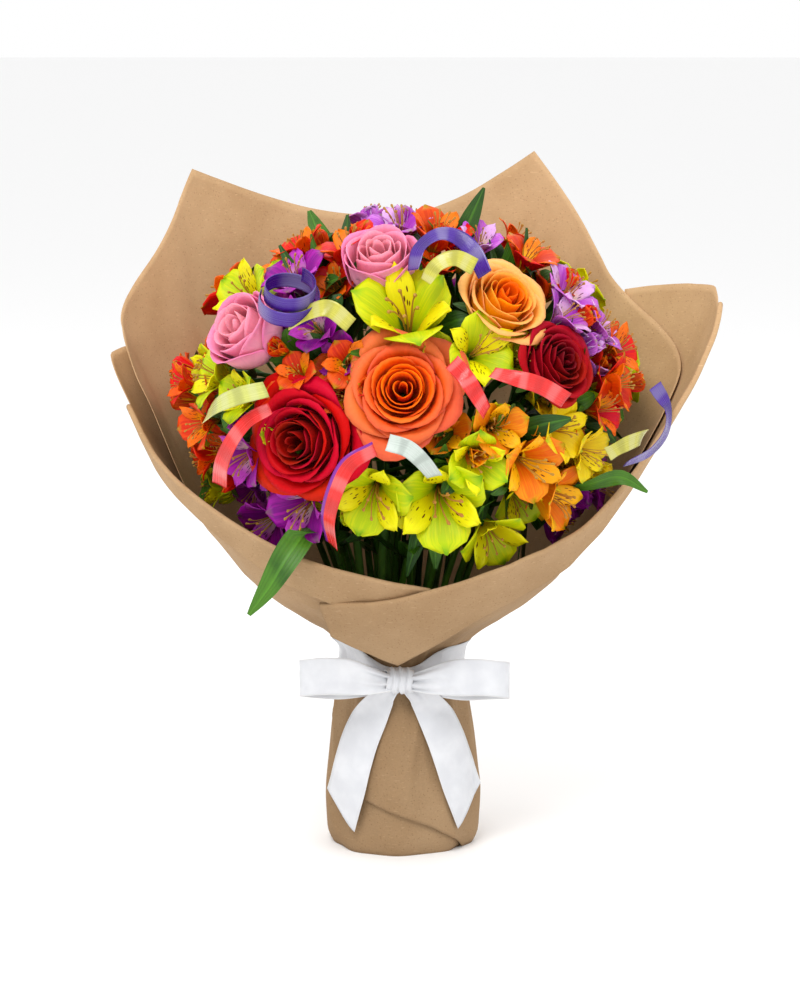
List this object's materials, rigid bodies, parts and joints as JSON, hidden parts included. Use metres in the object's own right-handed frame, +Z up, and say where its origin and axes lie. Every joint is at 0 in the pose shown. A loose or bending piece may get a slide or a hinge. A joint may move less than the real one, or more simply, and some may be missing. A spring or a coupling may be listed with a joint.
{
  "type": "mixed flower bouquet",
  "caption": "Hand-tied bouquet of roses and alstroemeria in folded kraft paper, with a satin ribbon bow and curled ribbons.",
  "frame": {"origin": "centre of the footprint of the bounding box, on the surface that the foot stands on", "axes": "+Z up along the stems, the bow and the lowest edge of the paper face -Y, +X to the right seen from the front"},
  "size_m": [0.3758, 0.3012, 0.4201],
  "materials": {
    "rose_orange": "satin",
    "rose_red": "satin",
    "rose_pink": "satin",
    "rose_peach": "satin",
    "rose_dark_red": "satin",
    "alstro_lime": "satin",
    "alstro_gold": "satin",
    "alstro_orange": "satin",
    "alstro_purple": "satin",
    "alstro_lilac": "satin",
    "alstro_scarlet": "satin",
    "stem": "satin",
    "leaf": "satin",
    "kraft": "matte",
    "satin": "gloss",
    "curl_violet": "gloss",
    "curl_lemon": "gloss",
    "curl_silver": "gloss",
    "curl_cream": "gloss",
    "curl_red": "gloss"
  },
  "bodies": {
    "root": {"paper_back": "kraft", "paper_left": "kraft", "paper_right": "kraft", "satin_band": "satin", "satin_knot": "satin", "satin_loop_left": "satin", "satin_loop_right": "satin", "satin_tail_left": "satin", "satin_tail_right": "satin", "rose_orange_bloom": "rose_orange", "rose_orange_stem": "stem", "rose_red_bloom": "rose_red", "rose_red_stem": "stem", "rose_pink_left_bloom": "rose_pink", "rose_pink_left_stem": "stem", "rose_pink_top_bloom": "rose_pink", "rose_pink_top_stem": "stem", "rose_peach_bloom": "rose_peach", "rose_peach_stem": "stem", "rose_dark_red_bloom": "rose_dark_red", "rose_dark_red_stem": "stem", "rose_rear_right_bloom": "rose_peach", "rose_rear_right_stem": "stem", "rose_rear_left_bloom": "rose_red", "rose_rear_left_stem": "stem", "rose_rear_low_bloom": "rose_orange", "rose_rear_low_stem": "stem", "alstro_lime_top": "alstro_lime", "alstro_lime_front": "alstro_lime", "alstro_lime_left": "alstro_lime", "alstro_lime_low_left": "alstro_lime", "alstro_gold_right": "alstro_gold", "alstro_orange_right": "alstro_orange", "alstro_purple_low_left": "alstro_purple", "alstro_purple_left": "alstro_purple", "alstro_lilac_top": "alstro_lilac", "alstro_lilac_right": "alstro_lilac", "alstro_purple_low_right": "alstro_purple", "alstro_scarlet_left_top": "alstro_scarlet", "alstro_scarlet_top": "alstro_scarlet", "alstro_scarlet_left": "alstro_scarlet", "alstro_scarlet_right": "alstro_scarlet", "alstro_scarlet_middle": "alstro_scarlet", "alstro_rear_right": "alstro_lime", "alstro_rear_left": "alstro_scarlet", "alstro_rear_middle": "alstro_purple", "sprig_front_left": "leaf", "sprig_top": "leaf", "sprig_middle": "leaf", "sprig_low_right": "leaf", "curl_violet_arc": "curl_violet", "curl_lemon_arc": "curl_lemon", "curl_red_left": "curl_red", "curl_cream_left": "curl_cream", "curl_red_front": "curl_red", "curl_silver_front": "curl_silver", "curl_red_right": "curl_red", "curl_coral": "curl_red", "curl_violet_right": "curl_violet", "curl_violet_coil": "curl_violet"}
  },
  "joints": []
}
